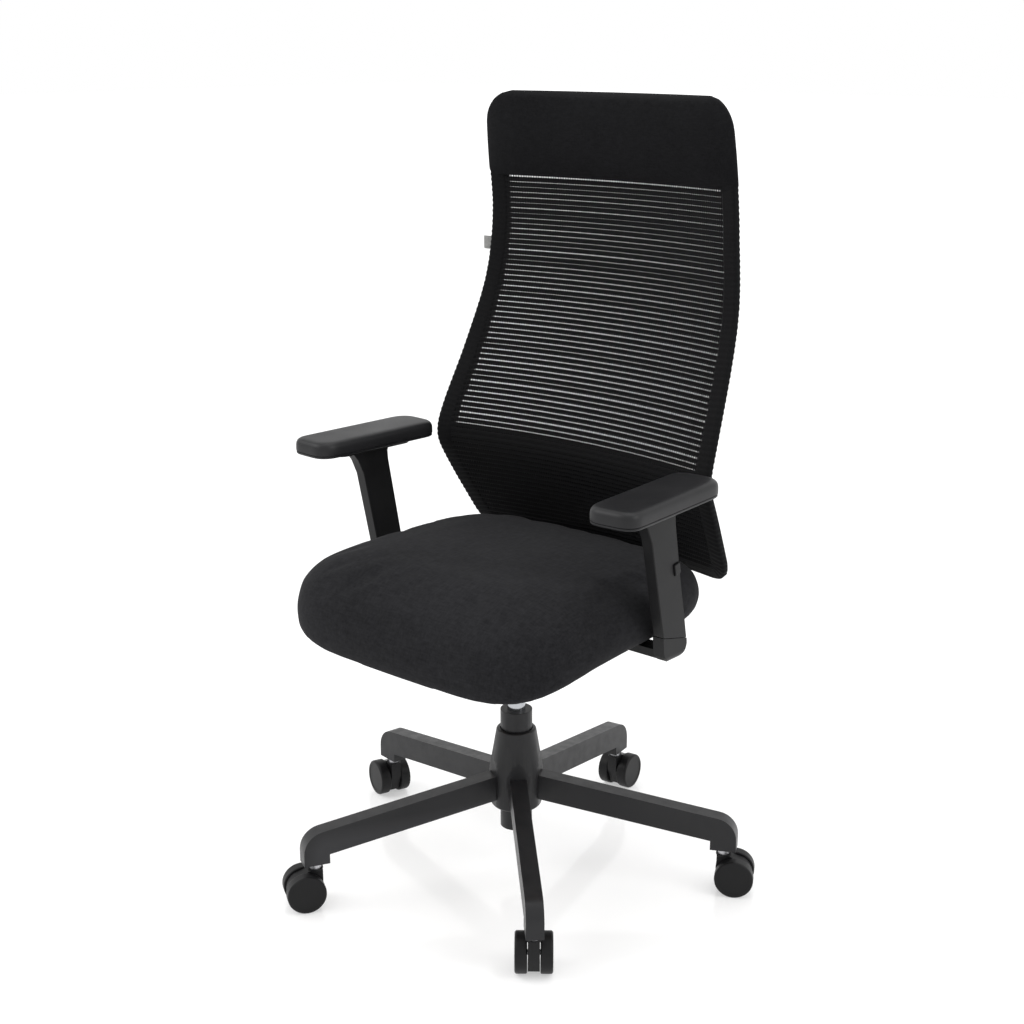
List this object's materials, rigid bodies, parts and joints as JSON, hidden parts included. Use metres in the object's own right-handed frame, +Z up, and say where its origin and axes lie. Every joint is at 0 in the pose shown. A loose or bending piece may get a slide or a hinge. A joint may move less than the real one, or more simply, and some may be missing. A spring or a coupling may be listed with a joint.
{
  "type": "swivel office chair",
  "caption": "Swivel office chair with tall mesh back, headrest pad, adjustable arms, padded seat, gas lift and castered star base.",
  "frame": {"origin": "on the floor, on the axis of the gas column", "axes": "+Z up, the sitter faces -Y, +X is the sitter's left"},
  "size_m": [0.7276, 0.7245, 1.191],
  "materials": {
    "painted_steel": "satin black powder coat",
    "chrome": "polished",
    "bare_steel": "zinc plated",
    "black_plastic": "fine grained nylon",
    "caster_plastic": "smooth moulded nylon",
    "gloss_shell": "glossy moulding",
    "pad_skin": "soft polyurethane skin",
    "seat_fabric": "woven upholstery",
    "knit_fabric": "fine knit",
    "mesh_fabric": "ribbed see-through mesh",
    "plywood": "bare"
  },
  "bodies": {
    "root": {"base_hub": "painted_steel", "base_legs": "painted_steel", "stem_sockets": "black_plastic", "gas_tube": "painted_steel", "tube_bush": "black_plastic", "thrust_bearing": "bare_steel"},
    "swivel": {"piston_rod": "bare_steel"},
    "lift": {"gas_cylinder": "chrome", "mechanism_housing": "painted_steel", "pivot_pins": "bare_steel", "tension_spring": "bare_steel"},
    "valve_pin": {"valve_pin": "bare_steel"},
    "tension_knob": {"tension_knob": "black_plastic"},
    "height_lever": {"height_lever": "black_plastic"},
    "tilt_lever": {"tilt_lever": "black_plastic"},
    "seat": {"seat_plate": "painted_steel", "seat_board": "plywood", "seat_cushion": "seat_fabric", "seat_bolts": "bare_steel", "arm_bracket_left": "black_plastic", "arm_bracket_right": "black_plastic", "arm_upright_left": "bare_steel", "arm_upright_right": "bare_steel"},
    "back": {"back_bar": "painted_steel", "back_frame": "black_plastic", "lumbar_panel": "knit_fabric", "rear_shell": "gloss_shell", "back_mesh": "mesh_fabric", "headrest_pad": "knit_fabric", "back_bolts": "bare_steel"},
    "arm_left": {"arm_sleeve_left": "black_plastic", "pad_slide_left": "black_plastic"},
    "height_button_left": {"height_button_left": "black_plastic"},
    "pad_left": {"arm_pad_left": "pad_skin"},
    "pad_button_left": {"pad_button_left": "black_plastic"},
    "arm_right": {"arm_sleeve_right": "black_plastic", "pad_slide_right": "black_plastic"},
    "height_button_right": {"height_button_right": "black_plastic"},
    "pad_right": {"arm_pad_right": "pad_skin"},
    "pad_button_right": {"pad_button_right": "black_plastic"},
    "caster_1": {"caster_1_housing": "caster_plastic", "caster_1_pins": "bare_steel"},
    "wheel_1a": {"caster_1_wheel_a": "caster_plastic"},
    "wheel_1b": {"caster_1_wheel_b": "caster_plastic"},
    "caster_2": {"caster_2_housing": "caster_plastic", "caster_2_pins": "bare_steel"},
    "wheel_2a": {"caster_2_wheel_a": "caster_plastic"},
    "wheel_2b": {"caster_2_wheel_b": "caster_plastic"},
    "caster_3": {"caster_3_housing": "caster_plastic", "caster_3_pins": "bare_steel"},
    "wheel_3a": {"caster_3_wheel_a": "caster_plastic"},
    "wheel_3b": {"caster_3_wheel_b": "caster_plastic"},
    "caster_4": {"caster_4_housing": "caster_plastic", "caster_4_pins": "bare_steel"},
    "wheel_4a": {"caster_4_wheel_a": "caster_plastic"},
    "wheel_4b": {"caster_4_wheel_b": "caster_plastic"},
    "caster_5": {"caster_5_housing": "caster_plastic", "caster_5_pins": "bare_steel"},
    "wheel_5a": {"caster_5_wheel_a": "caster_plastic"},
    "wheel_5b": {"caster_5_wheel_b": "caster_plastic"}
  },
  "joints": [
    {"name": "seat_swivel", "type": "hinge", "parent": "root", "child": "swivel", "pos_m": [0, 0, 0.3], "axis": [0, 0, 1], "continuous": true},
    {"name": "seat_height", "type": "slide", "parent": "swivel", "child": "lift", "axis": [0, 0, 1], "range_m": [-0.06, 0.04]},
    {"name": "height_lever", "type": "hinge", "parent": "lift", "child": "height_lever", "pos_m": [-0.05, -0.024, 0.3823], "axis": [0, 1, 0], "range_deg": [0, 4], "stiffness_Nm_per_rad": 6, "springref_deg": -8.59},
    {"name": "valve_pin", "type": "slide", "parent": "lift", "child": "valve_pin", "axis": [0, 0, 1], "range_m": [-0.0045, 0]},
    {"name": "tilt_lever", "type": "hinge", "parent": "lift", "child": "tilt_lever", "pos_m": [-0.1, 0.008, 0.359], "axis": [1, 0, 0], "range_deg": [0, 30]},
    {"name": "tension_knob", "type": "hinge", "parent": "lift", "child": "tension_knob", "pos_m": [0, -0.062, 0.33], "axis": [0, 0, 1], "continuous": true},
    {"name": "back_recline", "type": "hinge", "parent": "lift", "child": "back", "pos_m": [0, 0.04, 0.37], "axis": [-1, 0, 0], "range_deg": [0, 18], "stiffness_Nm_per_rad": 60, "springref_deg": -28.65},
    {"name": "seat_tilt", "type": "hinge", "parent": "lift", "child": "seat", "pos_m": [0, -0.08, 0.388], "axis": [-1, 0, 0], "range_deg": [0, 7.3]},
    {"name": "arm_height_left", "type": "slide", "parent": "seat", "child": "arm_left", "axis": [0, -0.2028, 0.9792], "range_m": [0, 0.07]},
    {"name": "height_button_left", "type": "slide", "parent": "arm_left", "child": "height_button_left", "axis": [-1, 0, 0], "range_m": [0, 0.002], "stiffness_N_per_m": 500, "springref_m": -0.002},
    {"name": "pad_slide_left", "type": "slide", "parent": "arm_left", "child": "pad_left", "axis": [0.0628, -0.998, 0], "range_m": [-0.015, 0.035]},
    {"name": "pad_button_left", "type": "slide", "parent": "arm_left", "child": "pad_button_left", "axis": [0, 0, 1], "range_m": [0, 0.003], "stiffness_N_per_m": 300, "springref_m": -0.002},
    {"name": "arm_height_right", "type": "slide", "parent": "seat", "child": "arm_right", "axis": [0, -0.2028, 0.9792], "range_m": [0, 0.07]},
    {"name": "height_button_right", "type": "slide", "parent": "arm_right", "child": "height_button_right", "axis": [1, 0, 0], "range_m": [0, 0.002], "stiffness_N_per_m": 500, "springref_m": -0.002},
    {"name": "pad_slide_right", "type": "slide", "parent": "arm_right", "child": "pad_right", "axis": [-0.0628, -0.998, 0], "range_m": [-0.015, 0.035]},
    {"name": "pad_button_right", "type": "slide", "parent": "arm_right", "child": "pad_button_right", "axis": [0, 0, 1], "range_m": [0, 0.003], "stiffness_N_per_m": 300, "springref_m": -0.002},
    {"name": "caster_1_swivel", "type": "hinge", "parent": "root", "child": "caster_1", "pos_m": [0.23334, -0.23334, 0.07], "axis": [0, 0, 1], "continuous": true},
    {"name": "wheel_1a_spin", "type": "hinge", "parent": "caster_1", "child": "wheel_1a", "pos_m": [0.22177, -0.21956, 0.03], "axis": [-0.766, -0.6428, 0], "continuous": true},
    {"name": "wheel_1b_spin", "type": "hinge", "parent": "caster_1", "child": "wheel_1b", "pos_m": [0.22177, -0.21956, 0.03], "axis": [-0.766, -0.6428, 0], "continuous": true},
    {"name": "caster_2_swivel", "type": "hinge", "parent": "root", "child": "caster_2", "pos_m": [0.29403, 0.14982, 0.07], "axis": [0, 0, 1], "continuous": true},
    {"name": "wheel_2a_spin", "type": "hinge", "parent": "caster_2", "child": "wheel_2a", "pos_m": [0.30962, 0.15882, 0.03], "axis": [-0.5, 0.866, 0], "continuous": true},
    {"name": "wheel_2b_spin", "type": "hinge", "parent": "caster_2", "child": "wheel_2b", "pos_m": [0.30962, 0.15882, 0.03], "axis": [-0.5, 0.866, 0], "continuous": true},
    {"name": "caster_3_swivel", "type": "hinge", "parent": "root", "child": "caster_3", "pos_m": [-0.05162, 0.32594, 0.07], "axis": [0, 0, 1], "continuous": true},
    {"name": "wheel_3a_spin", "type": "hinge", "parent": "caster_3", "child": "wheel_3a", "pos_m": [-0.05382, 0.3438, 0.03], "axis": [-0.9925, -0.1219, 0], "continuous": true},
    {"name": "wheel_3b_spin", "type": "hinge", "parent": "caster_3", "child": "wheel_3b", "pos_m": [-0.05382, 0.3438, 0.03], "axis": [-0.9925, -0.1219, 0], "continuous": true},
    {"name": "caster_4_swivel", "type": "hinge", "parent": "root", "child": "caster_4", "pos_m": [-0.32594, 0.05162, 0.07], "axis": [0, 0, 1], "continuous": true},
    {"name": "wheel_4a_spin", "type": "hinge", "parent": "caster_4", "child": "wheel_4a", "pos_m": [-0.34285, 0.05778, 0.03], "axis": [-0.342, -0.9397, 0], "continuous": true},
    {"name": "wheel_4b_spin", "type": "hinge", "parent": "caster_4", "child": "wheel_4b", "pos_m": [-0.34285, 0.05778, 0.03], "axis": [-0.342, -0.9397, 0], "continuous": true},
    {"name": "caster_5_swivel", "type": "hinge", "parent": "root", "child": "caster_5", "pos_m": [-0.14982, -0.29403, 0.07], "axis": [0, 0, 1], "continuous": true},
    {"name": "wheel_5a_spin", "type": "hinge", "parent": "caster_5", "child": "wheel_5a", "pos_m": [-0.15935, -0.3093, 0.03], "axis": [0.848, -0.5299, 0], "continuous": true},
    {"name": "wheel_5b_spin", "type": "hinge", "parent": "caster_5", "child": "wheel_5b", "pos_m": [-0.15935, -0.3093, 0.03], "axis": [0.848, -0.5299, 0], "continuous": true}
  ],
  "couplings": [
    {"joint": "valve_pin", "follows": "height_lever", "m_per_rad": -0.0559},
    {"joint": "seat_tilt", "follows": "back_recline", "ratio": 0.4}
  ]
}
